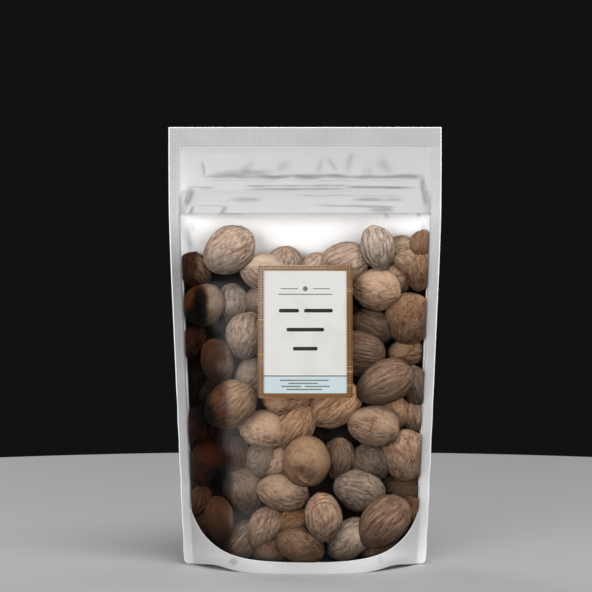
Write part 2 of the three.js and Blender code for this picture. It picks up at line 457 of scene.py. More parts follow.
def nutmeg_skin():
    """Dry nutmeg kernel: each nut's tone, its own colour with painted shade in it, darker in its furrows
    (partly painted shade) and paler on their crests, with fine wrinkles and veins that run from end to end,
    mottling and dark specks."""
    material, tree, shader = new_finish("nutmeg_skin", (0.35, 0.25, 0.17), 0.75, Specular_IOR_Level=0.10)
    grain = attribute_of(tree, "grain", "Vector")
    # tone holds painted shade as well as each nut's own colour.
    tone = attribute_of(tree, "tone", "Color")
    furrow, scar = attribute_of(tree, "furrow"), attribute_of(tree, "scar")
    wrinkled, veined, specked = split(tree, attribute_of(tree, "wear", "Vector"))

    mottle = noise_of(tree, grain, 0.20, detail=4.0, roughness=0.6)
    colour = tinted(tree, ramp(tree, mottle, [(0.36, 0.5), (0.60, 0.0)]), tone, (0.80, 0.72, 0.68))
    patch = noise_of(tree, grain, 0.11, detail=2.0)
    colour = tinted(tree, ramp(tree, patch, [(0.5, 0.0), (0.72, 0.5)]), colour, (1.30, 1.28, 1.22))

    # The dark lines of wrinkles, veins and fine grain are partly painted shade in their grooves.
    wrinkle = lines_of(tree, scaled(tree, grain, (0.13, 0.50, 0.50)), 1.0, 0.07, detail=1.5, distortion=0.6)
    wrinkle = maths(tree, "MULTIPLY", wrinkle, wrinkled)
    colour = tinted(tree, wrinkle, colour, (0.64, 0.54, 0.50))
    streaks = noise_of(tree, scaled(tree, grain, (0.06, 1.15, 1.15)), 1.0, detail=2.0, distortion=0.4)
    vein = maths(tree, "MULTIPLY", ramp(tree, streaks, [(0.38, 1.0), (0.58, 0.0)]), veined)
    colour = tinted(tree, vein, colour, (0.70, 0.60, 0.58))
    line = maths(tree, "MAXIMUM", wrinkle, vein)
    fine = noise_of(tree, scaled(tree, grain, (0.55, 1.25, 1.25)), 1.0, detail=3.0, roughness=0.6)
    colour = tinted(tree, ramp(tree, fine, [(0.36, 0.8), (0.56, 0.0)]), colour, (0.72, 0.66, 0.64))

    # Furrows darken partly as the skin's own colour, partly as painted shade in them.
    deep = ramp(tree, furrow, [(0.15, 0.0), (0.9, 0.9)])
    colour = tinted(tree, deep, colour, (0.44, 0.32, 0.29))
    colour = tinted(tree, scar, colour, (1.90, 1.80, 1.65))

    stain = noise_of(tree, grain, 0.15, detail=3.0)
    stain = maths(tree, "MULTIPLY", ramp(tree, stain, [(0.42, 0.7), (0.56, 0.0)]), specked)
    colour = tinted(tree, stain, colour, (0.70, 0.57, 0.54))
    speck = add(tree, "TexVoronoi", Scale=0.85)
    wire(tree, grain, speck.inputs["Vector"])
    dots = ramp(tree, speck.outputs["Distance"], [(0.16, 1.0), (0.46, 0.0)])
    clusters = ramp(tree, noise_of(tree, grain, 0.24, detail=3.0), [(0.42, 0.0), (0.58, 1.0)])
    dots = maths(tree, "MULTIPLY", dots, clusters)
    dots = maths(tree, "MULTIPLY", dots, specked)
    colour = tinted(tree, dots, colour, (0.34, 0.22, 0.19))
    wire(tree, colour, shader.inputs["Base Color"])

    wire(tree, ramp(tree, mottle, [(0.3, 0.66), (0.7, 0.84)]), shader.inputs["Roughness"])
    height = maths(tree, "MULTIPLY_ADD", line, -1.0, maths(tree, "MULTIPLY", fine, 0.9))
    height = maths(tree, "MULTIPLY_ADD", dots, -0.5, height)
    roughen(tree, shader, height, 0.45, 1.0)
    return material


def heap_shade():
    """Painted shade for the heap's middle, seen only between the nuts: a nearly black brown sheet, uneven."""
    darkest, palest = (0.003, 0.002, 0.0015), (0.016, 0.0105, 0.0075)
    material, tree, shader = new_finish("heap_shade", darkest, 0.9, Specular_IOR_Level=0.0)
    place = place_of(tree)
    cloud = noise_of(tree, place, PER_METRE / 7.0, detail=3.0)
    wire(tree, ramp(tree, cloud, [(0.35, darkest), (0.7, palest)]), shader.inputs["Base Color"])
    wire(tree, ramp(tree, cloud, [(0.3, 0.84), (0.7, 0.95)]), shader.inputs["Roughness"])
    roughen(tree, shader, noise_of(tree, place, PER_METRE / 1.5), 0.4, 0.8)
    return material


def woven_border():
    """The label's ground: a printed weave, tan threads with two rows of dark knots between them
    round the border, and here and there a paler thread. It is browner towards its lower right."""
    material, tree, shader = new_finish("woven_brown", (0.36, 0.22, 0.11), 0.55, Specular_IOR_Level=0.3)
    place = place_of(tree)
    axes = split(tree, place)
    rows = []
    for axis, outer, span, pitches in (
        ("X", LABEL_WIDTH / 2 - KNOT_INSET, LABEL_WIDTH - 2 * KNOT_INSET, 35),
        ("Z", LABEL_FOOT + KNOT_INSET, LABEL_HEIGHT - 2 * KNOT_INSET, 50),
    ):
        turns = 2.0 * np.pi * pitches / span
        angle = maths(tree, "MULTIPLY_ADD", axes[axis], turns * PER_METRE, -turns * outer)
        rows.append(maths(tree, "MULTIPLY_ADD", maths(tree, "COSINE", angle), 0.5, 0.5))
    knot = maths(tree, "MULTIPLY", *rows)
    slant = maths(tree, "SUBTRACT", axes["X"], axes["Z"])
    slant = maths(tree, "MULTIPLY_ADD", slant, 7.0, 1.13)
    cloud = noise_of(tree, place, PER_METRE / 9.0, detail=2.0)
    tint = maths(tree, "MULTIPLY_ADD", cloud, 0.3, slant)
    thread = ramp(tree, tint, [(0.20, (0.26, 0.195, 0.14)), (0.60, (0.140, 0.064, 0.015))])
    stray = noise_of(tree, scaled(tree, place, (0.04, 0.04, 1.0)), PER_METRE / 1.6, detail=1.0)
    colour = blend(tree, ramp(tree, stray, [(0.60, 0.0), (0.72, 0.6)]), thread, (0.42, 0.31, 0.17))
    colour = blend(tree, ramp(tree, knot, [(0.15, 0.0), (0.50, 1.0)]), colour, (0.07, 0.028, 0.010))
    fibre = noise_of(tree, place, PER_METRE / 0.6, detail=3.0)
    colour = tinted(tree, ramp(tree, fibre, [(0.4, 0.3), (0.6, 0.0)]), colour, (0.6, 0.5, 0.4))
    wire(tree, colour, shader.inputs["Base Color"])
    wire(tree, ramp(tree, fibre, [(0.3, 0.48), (0.7, 0.66)]), shader.inputs["Roughness"])
    roughen(tree, shader, knot, -0.05, 0.6)
    return material


def printed_paper(name, colour, clouding):
    """Satin coated paper: faint tonal fields in the print, fine tooth, slightly uneven gloss."""
    material, tree, shader = new_finish(name, colour, 0.46, Specular_IOR_Level=0.25)
    place = place_of(tree)
    field = noise_of(tree, place, PER_METRE / 17.0, detail=1.0, distortion=0.6)
    darker = tuple(c * (1.0 - clouding) for c in colour)
    tone = ramp(tree, field, [(0.42, darker), (0.50, colour), (0.62, colour)])
    wire(tree, tone, shader.inputs["Base Color"])
    gloss = noise_of(tree, place, PER_METRE / 6.0)
    wire(tree, ramp(tree, gloss, [(0.3, 0.36), (0.7, 0.48)]), shader.inputs["Roughness"])
    roughen(tree, shader, noise_of(tree, place, PER_METRE / 0.35, detail=2.0), 0.012, 0.4)
    return material


# ---- The nutmegs ------------------------------------------------------------------------

# One nut as it is seen from the front: the middle of its outline, its length and width, the tilt
# of its long axis from level, its kind, its hue and how pale it is, set to how bright the nut
# looks, so that for the darker nuts it holds painted shade too. A nut lies behind those before it in the
# list.
Nut = namedtuple("Nut", "x z length width tilt kind hue pale")

LAYOUT = [
    Nut(0.5, 51.0, 24.5, 22.5, -98, "navel", "brown", 0.15),
    Nut(8.3, 24.7, 23.5, 17.5, 98, "rimmed", "tan", 0.185),
    Nut(36.5, 22.5, 29.5, 21.5, 42, "veined", "tan", 0.15),
    Nut(-35.5, 148.8, 27.5, 22.5, 38, "furrowed", "grey", 0.32),
    Nut(33.5, 150.0, 22.0, 17.0, 102, "furrowed", "cool", 0.34),
    Nut(33.0, 130.5, 24.0, 20.0, -8, "half_smooth", "tan", 0.272),
    Nut(48.5, 117.0, 25.0, 24.5, 70, "pitted", "brown", 0.128),
    Nut(37.0, 87.5, 28.5, 20.5, 25, "veined", "tan", 0.15),
    Nut(31.8, 66.7, 25.0, 20.0, -8, "half_smooth", "tan", 0.2),
    Nut(47.0, 53.5, 25.5, 24.0, 95, "pitted", "tan", 0.2),
    Nut(14.0, 77.0, 28.0, 21.0, 38, "furrowed", "brown", 0.3),
    Nut(-5.5, 66.0, 26.0, 18.5, 50, "furrowed", "brown", 0.24),
    Nut(-10.5, 36.0, 25.0, 18.0, -9, "half_smooth", "tan", 0.195),
    Nut(-35.0, 77.0, 26.5, 22.0, 38, "furrowed", "brown", 0.15),
    Nut(-47.0, 123.5, 20.5, 20.0, -120, "navel", "tan", 0.13),
    Nut(-40.8, 97.0, 22.0, 15.5, 103, "rimmed", "tan", 0.09),
    Nut(-45.5, 50.0, 23.0, 19.0, -115, "navel", "red", 0.03),
    Nut(-40.0, 24.0, 21.5, 13.5, 100, "rimmed", "brown", 0.085),
    Nut(54.5, 140.5, 23.0, 14.0, 85, "smooth", "brown", 0.14),
    Nut(47.3, 143.6, 19.0, 14.0, -30, "smooth", "tan", 0.21),
    Nut(42.0, 136.3, 18.0, 15.5, 110, "smooth", "tan", 0.24),
    Nut(-19.0, 138.0, 24.0, 19.5, -12, "half_smooth", "grey", 0.345),
    Nut(17.0, 142.0, 28.0, 21.0, 22, "furrowed", "grey", 0.31),
    Nut(-27.0, 109.0, 23.0, 21.0, 75, "smooth", "grey", 0.24),
    Nut(-19.5, 65.0, 24.0, 19.5, -15, "half_smooth", "tan", 0.3),
    Nut(-2.0, 11.8, 23.5, 17.0, -22, "pitted", "brown", 0.096),
    Nut(-19.0, 19.5, 23.0, 17.0, 62, "smooth", "tan", 0.17),
    Nut(-28.0, 37.0, 23.5, 20.0, 120, "smooth", "tan", 0.085),
    Nut(25.0, 37.5, 26.0, 21.0, -15, "smooth", "grey", 0.175),
    Nut(20.5, 14.5, 25.0, 18.0, 40, "smooth", "grey", 0.25),
    Nut(24.0, 101.0, 28.0, 22.0, -10, "veined", "tan", 0.118),
    Nut(56.0, 150.5, 17.0, 13.0, 75, "furrowed", "brown", 0.13),
    Nut(52.5, 86.0, 19.0, 13.0, 100, "veined", "grey", 0.13),
    Nut(-52.0, 106.5, 18.0, 13.0, 60, "ridged", "red", 0.04),
    Nut(-51.0, 139.5, 19.0, 16.0, 125, "ridged", "brown", 0.07),
    Nut(-50.0, 66.0, 17.5, 13.0, 82, "ridged", "red", 0.032),
    Nut(-50.0, 33.0, 16.0, 12.0, 65, "ridged", "brown", 0.14),
    Nut(-46.5, 19.5, 18.0, 13.0, 80, "smooth", "orange", 0.08),
    Nut(50.0, 27.0, 16.0, 12.0, 95, "veined", "orange", 0.07),
    Nut(43.5, 148.0, 18.0, 15.0, 20, "half_smooth", "olive", 0.21),
    Nut(-33.5, 123.5, 21.0, 16.0, 95, "smooth", "cool", 0.2),
    Nut(31.0, 113.5, 21.0, 17.5, 150, "veined", "tan", 0.1),
    Nut(46.5, 101.0, 18.0, 14.5, 10, "half_smooth", "brown", 0.13),
    Nut(41.0, 73.0, 18.0, 16.0, 70, "half_smooth", "brown", 0.205),
    Nut(50.5, 72.5, 17.0, 13.0, 95, "veined", "tan", 0.21),
    Nut(-24.0, 89.5, 22.0, 19.0, 55, "half_smooth", "grey", 0.16),
    Nut(-8.0, 80.0, 25.0, 17.5, 5, "pitted", "brown", 0.26),
    Nut(-32.0, 52.0, 21.0, 15.5, 97, "furrowed", "brown", 0.035),
    Nut(-21.0, 50.0, 19.0, 17.0, 60, "smooth", "grey", 0.12),
    Nut(-12.0, 49.0, 17.0, 15.0, 40, "smooth", "tan", 0.23),
    Nut(15.5, 52.0, 21.0, 16.0, 85, "furrowed", "tan", 0.108),
    Nut(30.0, 50.0, 20.0, 18.0, 140, "smooth", "grey", 0.1),
    Nut(45.5, 37.0, 18.0, 16.0, 10, "smooth", "brown", 0.048),
    Nut(-29.0, 13.5, 24.0, 17.5, 48, "veined", "grey", 0.142),
    Nut(-6.0, 22.5, 19.0, 15.0, 30, "smooth", "orange", 0.115),
    Nut(-15.0, 10.0, 19.0, 16.0, 20, "pitted", "brown", 0.072),
    Nut(35.0, 11.0, 19.0, 16.0, 15, "smooth", "brown", 0.08),
    Nut(-9.0, 140.5, 22.0, 19.0, 90, "half_smooth", "grey", 0.28),
    Nut(5.0, 139.0, 20.0, 17.0, 60, "smooth", "grey", 0.36),
    Nut(-20.0, 124.0, 20.0, 17.0, 80, "smooth", "grey", 0.18),
]

HUES = {  # red, green and blue of the skin for a green of 1
    "cool": (1.19, 1.0, 0.82),
    "grey": (1.27, 1.0, 0.77),
    "olive": (1.30, 1.0, 0.66),
    "tan": (1.44, 1.0, 0.69),
    "brown": (1.58, 1.0, 0.60),
    "orange": (1.76, 1.0, 0.51),
    "red": (2.10, 1.0, 0.46),
}

# How each kind is wrinkled: depth of its furrows and of the folds between them in millimetres,
# how many run round it, how often they break along it, how much of it they cover, its lumps,
# its pits, and how strongly it is finely wrinkled, veined and specked.
Kind = namedtuple("Kind", "furrow fold count run cover lump pits wrinkled veined specked")
KINDS = {
    "furrowed": Kind(0.80, 0.38, 4.1, 0.8, 0.75, 0.5, 0, 0.50, 0.20, 0.10),
    "half_smooth": Kind(0.75, 0.38, 3.8, 1.2, 0.45, 0.5, 1, 0.50, 0.10, 0.15),
    "ridged": Kind(1.20, 0.50, 3.6, 0.9, 0.90, 0.6, 0, 0.50, 0.30, 0.15),
    "smooth": Kind(0.42, 0.34, 4.4, 2.0, 0.55, 0.5, 2, 0.60, 0.10, 0.20),
    "veined": Kind(0.20, 0.16, 6.0, 0.5, 0.60, 0.4, 1, 0.10, 1.00, 0.10),
    "pitted": Kind(0.30, 0.30, 3.6, 2.6, 0.30, 0.8, 34, 0.30, 0.05, 1.00),
    "rimmed": Kind(0.12, 0.25, 4.0, 1.4, 0.40, 0.6, 3, 0.20, 0.00, 0.60),
    "navel": Kind(0.30, 0.20, 4.2, 0.9, -0.20, 0.6, 2, 0.25, 0.05, 0.15),
}
EGG = 0.08  # how much thicker a nut is towards its scar end


def axes_of(nut, turn):
    """The nut's own axes: along it, across it and towards the eye, yawed a little by turn."""
    tilt = np.radians(nut.tilt)
    along = np.array([np.cos(tilt) * np.cos(turn), np.sin(turn), np.sin(tilt) * np.cos(turn)])
    across = np.cross(along, np.array([0.0, -1.0, 0.0]))
    across /= np.linalg.norm(across)
    return np.stack([along, across, np.cross(along, across) * -1.0])


def angle_from(q, way):
    """The angle between each direction of q and way."""
    return np.arccos(np.clip(q @ way, -1.0, 1.0))


def navel_hollow(q, warp, drift):
    """The hollow in a navel nut: a pit inside a pleated basin, an oval whose edge wanders, with a
    pale lip at its lower edge. Gives its height, furrows and scar; the furrows darken the pit and basin,
    partly as painted shade."""
    mouth = np.array([0.32, 0.22, 0.92])
    from_mouth = angle_from(q, mouth / np.linalg.norm(mouth)) + 0.09 * warp[..., 0]
    facing = smoothstep(q[..., 2], 0.05, 0.35)
    away = np.hypot((q[..., 0] - 0.44) / 0.37, (q[..., 1] - 0.04) / 0.60) + 0.18 * warp[..., 1]
    basin = facing * smoothstep(away, 1.08, 0.74)
    pleats = noise(q * np.array([7.5, 2.6, 2.6]) + 1.1 * warp + drift + 43.0)
    pleats = np.exp(-np.abs(pleats) / 0.10)
    lip = bell(q[..., 0] + 0.25 * q[..., 1] + 0.05 * warp[..., 2], 0.68, 0.075)
    lip = facing * lip * bell(q[..., 1], 0.0, 0.32)
    sunk = basin * (1.25 + 0.6 * pleats) * (1.0 - lip)
    height = -1.5 * bell(from_mouth, 0.0, 0.24) - sunk + 0.9 * lip
    pit = bell(from_mouth, 0.0, 0.17)
    # The pit and basin are darkened partly as painted shade in the hollow.
    furrow = (basin * (0.20 + 0.62 * pleats) + 0.75 * pit) * (1.0 - lip)
    return height, furrow, 0.95 * lip


def worn_rim(q, warp, drift):
    """A rimmed nut's worn face: a rough flat, sunk inside a rim of thin layers that runs round it
    like the lines of a shell. Gives its height, furrows and darkness, the last partly painted shade beyond
    the rim."""
    from_face = angle_from(q, np.array([0.05, 0.1, 0.99])) + 0.12 * warp[..., 0]
    rim = smoothstep(from_face, 0.55, 0.75) * (1.0 - smoothstep(from_face, 1.40, 1.75))
    phase = 2.0 * np.pi * (from_face - 0.60) / 0.22
    phase = phase + 1.6 * warp[..., 1] + 1.5 * noise(q * 4.0 + drift + 17.0)
    layers = 0.5 - 0.5 * np.cos(phase)
    rough = noise(q * 4.5 + drift + 13.0) * (1.0 - rim)
    sunk = 1.0 - smoothstep(from_face, 0.35, 0.80)
    height = -1.0 * sunk + 0.55 * rim * (layers - 0.5) + 0.55 * rough
    # Darkness: uneven over the face and the rim's layers, and painted shade beyond the rim, towards the nut's
    # sides.
    dark = 1.0 + 0.45 * rough + 0.22 * rim * layers - 0.40 * smoothstep(from_face, 1.20, 1.45)
    return height, 0.9 * rim * (1.0 - layers) ** 3, dark


def nut_form(nut, seed, rows, columns):
    """Points of one nut in its own axes, and its furrows, scar, grain, wear and darkness, which holds a
    rimmed nut's painted shade.

    On the unit sphere q = (cos t, sin t cos p, sin t sin p) the body is (a, b e, c e) q with
    e = 1 + EGG cos t. It is pushed out along its normal by slow lumps, and in by furrows: bands
    along the lines where noise is zero, as deep as exp(-|noise| / width), read on a cylinder of
    nearly fixed radius so that they run to both ends. Its columns crowd towards the eye.
    """
    kind = KINDS[nut.kind]
    half = np.array([nut.length / 2, nut.width / 2, 0.95 * nut.width / 2])
    t = (np.arange(rows) + 0.5) * np.pi / rows
    p = np.arange(columns) * 2.0 * np.pi / columns
    p = p + FRONT_CROWDING * np.cos(p)
    t, p = np.meshgrid(t, p, indexing="ij")
    q = np.stack([np.cos(t), np.sin(t) * np.cos(p), np.sin(t) * np.sin(p)], axis=-1)
    drift = seed * np.array([7.31, 3.17, 5.53])
    size = nut.width / 21.0

    warp = np.stack([noise(q * 1.7 + drift + k) for k in (11.0, 23.0, 37.0)], axis=-1)
    ring = np.sin(t) ** 0.35
    turns = kind.count * size * ring
    bands = np.stack([kind.run * size * np.cos(t), turns * np.cos(p), turns * np.sin(p)], axis=-1)
    winding = np.abs(noise(bands + 0.5 * warp + drift))
    crossing = np.abs(noise(bands * 1.7 + 0.9 * warp + drift + 51.0))
    cover = noise(q * 0.9 + drift + 71.0) + kind.cover
    if nut.kind == "half_smooth":
        lower = q[..., 1] * np.sign(np.cos(np.radians(nut.tilt)))
        cover = cover + 1.1 * (lower - 0.1)
    cover = smoothstep(cover, -0.25, 0.35)
    ends = smoothstep(np.sin(t), 0.04, 0.40)
    furrow = ends * cover * np.maximum(np.exp(-winding / 0.11), 0.5 * np.exp(-crossing / 0.11))
    depth = kind.furrow * np.exp(-winding / 0.26) + kind.fold * np.exp(-crossing / 0.24)
    height = kind.lump * noise(q * 1.25 + drift + 91.0) - ends * cover * depth
    height += 0.08 * noise(q * 8.0 + drift)

    pick = np.random.default_rng(1000 + seed)
    pits = pick.normal(size=(kind.pits, 3))
    pits /= np.linalg.norm(pits, axis=1, keepdims=True)
    for pit in pits:
        spot = np.exp(-(2.0 - 2.0 * (q @ pit)) / pick.uniform(0.003, 0.009))
        height -= pick.uniform(0.15, 0.35) * spot
        furrow = np.maximum(furrow, 0.8 * spot)

    scar_way = np.array([0.95, 0.0, 0.31])
    from_scar = angle_from(q, scar_way / np.linalg.norm(scar_way))
    scar = 0.8 * bell(from_scar + 0.10 * warp[..., 0], 0.0, 0.22)
    dark = np.ones_like(t)
    if nut.kind == "navel":
        hollow, pleats, scar = navel_hollow(q, warp, drift)
        height += hollow
        furrow = np.maximum(furrow, pleats)
    if nut.kind == "rimmed":
        worn, lines, dark = worn_rim(q, warp, drift)
        height += worn
        furrow = np.maximum(furrow * 0.4, lines)

    swollen = 1.0 + EGG * np.cos(t)[..., None]
    body = q * half * np.concatenate([np.ones_like(swollen), swollen, swollen], axis=-1)
    normal = q / half
    normal /= np.linalg.norm(normal, axis=-1, keepdims=True)
    points = body + height[..., None] * normal
    around = half[1] * ring
    grain = np.stack([half[0] * np.cos(t), around * np.cos(p), around * np.sin(p)], axis=-1)
    wrinkled = kind.wrinkled * (0.25 + 0.75 * cover)
    wear = np.stack([wrinkled, np.full_like(t, kind.veined), np.full_like(t, kind.specked)], axis=-1)
    return points, furrow, scar, grain + 60.0 * (1 + seed), wear, dark


def nut_faces(rows, columns, first):
    """Quads round the nut and a fan at each end; the two end points come after the grid."""
    index = first + np.arange(rows * columns).reshape(rows, columns)
    after = np.roll(index, -1, axis=1)
    quads = np.stack([index[:-1], index[1:], after[1:], after[:-1]], axis=-1)
    ends = first + rows * columns
    start = np.stack([np.full(columns, ends), index[0], after[0]], axis=-1)
    finish = np.stack([np.full(columns, ends + 1), after[-1], index[-1]], axis=-1)
    return quads.reshape(-1, 4), np.concatenate([start, finish])


def with_ends(values):
    """Adds the mean of the first and of the last ring, for the two end points."""
    flat = values.reshape(-1, *values.shape[2:])
    return np.concatenate([flat, values[0].mean(axis=0)[None], values[-1].mean(axis=0)[None]])


# The shade painted on the nuts along the left side: its edge's heights and x, its tint, its browner
# tint at two heights, and its painted near-black shadows as middle x and z, half width and half height.
SHADE_HEIGHTS = [60, 66, 90, 105, 110, 114, 132, 136, 150, 155]
SHADE_EDGE = [-34, -35, -36, -36, -40, -46, -46, -50, -50, -56]
SHADE_TINT, BROWN_SHADE_TINT = np.array([0.29, 0.19, 0.13]), np.array([0.30, 0.12, 0.03])
PAINTED_SHADOWS = (
    (-51.5, 117.5, 7.2, 6.5),
    (-49.6, 125.0, 4.4, 7.5),
    (-40.0, 41.0, 6.5, 8.0),
    (-47.5, 72.0, 7.0, 9.0),
)


def shade_at(x, z):
    """Painted shade in the nuts' colour: a deep brown shade painted along the left side of the window,
    browner at two heights, with painted near-black shadows in it."""
    edge = np.interp(z, SHADE_HEIGHTS, SHADE_EDGE)
    lit = smoothstep(x - 1.6 * noise_on_plane(x, z, 9.0, 12.0), edge - 3.0, edge + 1.5)[..., None]
    # The painted shade is browner at two heights.
    brown_shade = np.maximum(bell(z, 123.0, 10.0), bell(z, 51.0, 9.0))[..., None]
    shade = SHADE_TINT * (1.0 - brown_shade) + BROWN_SHADE_TINT * brown_shade
    shade = shade * (1.0 - lit) + lit
    # Painted near-black shadows at the listed spots.
    for middle_x, middle_z, wide, tall in PAINTED_SHADOWS:
        away = np.hypot((x - middle_x) / wide, (z - middle_z) / tall) + 0.15 * noise_on_plane(x, z, 5.0, 14.0)
        shade = shade * (0.06 + 0.94 * smoothstep(away, 0.55, 1.20)[..., None])
    return shade


NUT_LAYERS = {
    "tone": "FLOAT_COLOR",
    "furrow": "FLOAT",
    "scar": "FLOAT",
    "grain": "FLOAT_VECTOR",
    "wear": "FLOAT_VECTOR",
}


def kept_inside(points):
    """The points pushed a little inside the films, and clear of the gusset's rim at the foot."""
    x, y, z = points.T
    share = np.abs(y) / film_depth(x, np.zeros_like(x))
    z = np.maximum(z, 0.9 + 3.7 * smoothstep(share, 0.84, 0.94))
    side = inner_half_width(z) - 0.5
    x = np.clip(x, -side, side)
    room = film_depth(x, z) - 0.6
    return np.column_stack([x, np.clip(y, -room, room), z])


def nut_piece(name, members, skin, rows, columns):
    """One piece of all the nuts of one kind: each nut's form, turned to its axes, placed and kept
    inside the films. Its colour holds painted shade: darker towards its foot as if lit from above, and
    shade_at's."""
    made = []
    for nut, centre, axes, flat, seed in members:
        values = [with_ends(v) for v in nut_form(nut, seed, rows, columns)]
        form, furrow, scar, grain, wear, dark = values
        placed = kept_inside(form @ axes * np.array([1.0, flat, 1.0]) + centre)
        # Painted shade: each nut darker towards its foot, times shade_at's painted shade and a rimmed nut's
        # painted darkness.
        rise = smoothstep((placed[:, 2] - centre[2]) / (nut.width / 2), -1.0, 0.5)[:, None]
        lit = shade_at(placed[:, 0], placed[:, 2]) * (0.48 + 0.75 * rise) * dark[:, None]
        tint = nut.pale * np.array(HUES[nut.hue]) * lit
        tone = np.column_stack([tint, np.ones(len(placed))])
        faces, fans = nut_faces(rows, columns, len(made) * len(placed))
        made.append((placed, faces, fans, tone, furrow, scar, grain, wear))
    points, quads, fans, *layers = [np.concatenate(part) for part in zip(*made)]
    piece = mesh_piece(name, points, quads, fans)
    for (layer, kind), values in zip(NUT_LAYERS.items(), layers):
        give_attribute(piece, layer, values, kind)
    piece.data.materials.append(skin)
    return carry(piece, "nutmeg")


# The nuts that press on the film behind the label.
BEHIND_LABEL = [
    Nut(1.0, 101.0, 24.0, 19.5, 80, "furrowed", "tan", 0.17),
    Nut(-3.5, 121.5, 21.0, 17.0, 20, "half_smooth", "brown", 0.18),
    Nut(12.5, 117.0, 19.0, 15.5, 100, "furrowed", "grey", 0.19),
    Nut(12.0, 133.0, 18.0, 15.0, 20, "veined", "tan", 0.17),
    Nut(-14.3, 99.5, 19.0, 14.0, 95, "smooth", "tan", 0.17),
    Nut(-14.3, 116.5, 18.0, 13.5, 80, "veined", "brown", 0.15),
    Nut(-9.0, 134.0, 19.0, 14.5, 5, "furrowed", "brown", 0.16),
]


def fill_nuts():
    """Nuts that fill the back of the pouch and its sides, on a loose stagger."""
    made = []
    hues = list(HUES)[1:6]
    for level, z in enumerate(np.arange(13.0, 131.0, 13.0)):
        for x in np.arange(-50.0, 51.0, 13.0) + 6.0 * (level % 2):
            length, width = rng.uniform(20.0, 24.0), rng.uniform(15.5, 18.5)
            kind = ("smooth", "furrowed", "veined")[rng.integers(3)]
            spot = x + rng.uniform(-3.0, 3.0), z + rng.uniform(-3.0, 3.0)
            # The filling's low paleness is painted shade deep in the heap.
            hue, pale = hues[rng.integers(len(hues))], rng.uniform(0.025, 0.055)
            made.append(Nut(*spot, length, width, rng.uniform(0.0, 180.0), kind, hue, pale))
    return made


def core_front(x, z):
    """Where the dark sheet of painted shade in the heap's middle begins: CORE_BEHIND behind the front film,
    or close to the back film where the pouch is thinner."""
    depth = film_depth(x, z)
    lumps = 1.5 * noise_on_plane(x, z, 8.0, 61.0)
    return np.minimum(CORE_BEHIND + lumps - depth, depth - 1.0)


def place_nuts(nuts, axes):
    """Where each nut lies: x and z so that it is seen in its laid-out place, and y as far
    forward as the film and the nuts before it in the list allow; those behind the label may
    also lie in front of nuts before them. Each nut counts as three balls in a row along its
    axis, flattened front to back where the pouch is thin."""
    placed = []
    balls_before = np.zeros((0, 3))
    reach_before = np.zeros((0, 2))
    for seed, (nut, axis) in enumerate(zip(nuts, axes)):
        wide, long = nut.width / 2, nut.length / 2
        offset = (long - END_BALL * wide) * np.array([[-1.0], [0.0], [1.0]]) * axis[0]
        radius = wide * np.array([END_BALL, 1.0, END_BALL])
        tilt = np.radians(nut.tilt)
        span = np.hypot(long * np.cos(tilt), wide * np.sin(tilt))
        y = -10.0
        for _ in range(4):
            scale = (EYE_DISTANCE + y) / (EYE_DISTANCE - LAYOUT_PLANE)
            x = EYE_OFFSET + (nut.x - EYE_OFFSET) * scale
            z = EYE_HEIGHT + (nut.z - EYE_HEIGHT) * scale
            limit = inner_half_width(np.array(z)) - 0.62 * span
            x = np.clip(x, -limit, limit)
            balls = np.array([x, 0.0, z]) + offset * np.array([1.0, 0.0, 1.0])
            ball_x, ball_z = balls[:, 0], balls[:, 2]
            depth = film_depth(ball_x, ball_z) - FILM_CLEARANCE
            flat = np.clip(depth.mean() / wide, FLATTEST, ROUNDEST)
            lean = np.abs(film_depth(ball_x + 0.5, ball_z) - film_depth(ball_x - 0.5, ball_z))
            front = np.max(radius * flat * np.sqrt(1.0 + np.minimum(lean, 1.0) ** 2) - depth)
            back = np.min(depth - radius * flat)
            behind = front
            if len(balls_before):
                before_x, before_y, before_z = balls_before.T
                across = np.hypot(ball_x[:, None] - before_x, ball_z[:, None] - before_z)
                reach = radius[:, None] + reach_before[:, 0]
                thick = NUT_TOUCH * np.sqrt(np.clip(reach**2 - across**2, 0.0, None))
                thick *= 0.5 * (flat + reach_before[:, 1])
                touching = across < reach
                behind = np.max(np.where(touching, before_y + thick, -np.inf))
                fits = np.all(~touching | (before_y - front >= thick))
                if fits and len(LAYOUT) <= seed < len(LAYOUT) + len(BEHIND_LABEL):
                    behind = front
            y = max(front, behind)
            if seed < len(LAYOUT):
                y = min(y, front + DEEPEST)
            if y > back:
                y = back if back > front else (front + back) / 2
        overfull = behind - y
        balls[:, 1] = y
        balls_before = np.concatenate([balls_before, balls])
        reach_before = np.concatenate([reach_before, np.column_stack([radius, np.full(3, flat)])])
        placed.append((nut, np.array([x, y, z]), axis, flat, seed, overfull))
    return placed


def build_nuts():
    """All the nuts: the laid-out ones in full, and the filling behind them more simply. A nut of
    the filling is left out where it would sink too far into others or into the dark middle."""
    turns = rng.uniform(-0.25, 0.25, len(LAYOUT) + SPARE_TURNS)
    nuts = LAYOUT + BEHIND_LABEL + fill_nuts()
    placed = place_nuts(nuts, [axes_of(n, t) for n, t in zip(nuts, turns)])
    shown = [m[:5] for m in placed[:len(LAYOUT)]]
    filling = []
    for nut, centre, axes, flat, seed, overfull in placed[len(LAYOUT):]:
        clear = core_front(*centre[[0, 2], None])[0] - (centre[1] - flat * nut.width / 2)
        allowed = OVERLAP_LOW if nut.z < LOW_NUTS else OVERLAP_HIGH
        if overfull < allowed and clear > 1.0:
            filling.append((nut, centre, axes, flat, seed))
    skin = nutmeg_skin()
    for kind in KINDS:
        same = [m for m in shown if m[0].kind == kind]
        nut_piece("nutmegs_" + kind, same, skin, NUT_ROWS, NUT_COLUMNS)
    nut_piece("nutmegs_filling", filling, skin, HIDDEN_ROWS, HIDDEN_COLUMNS)
    build_shade_core(shown)
    return shown + filling


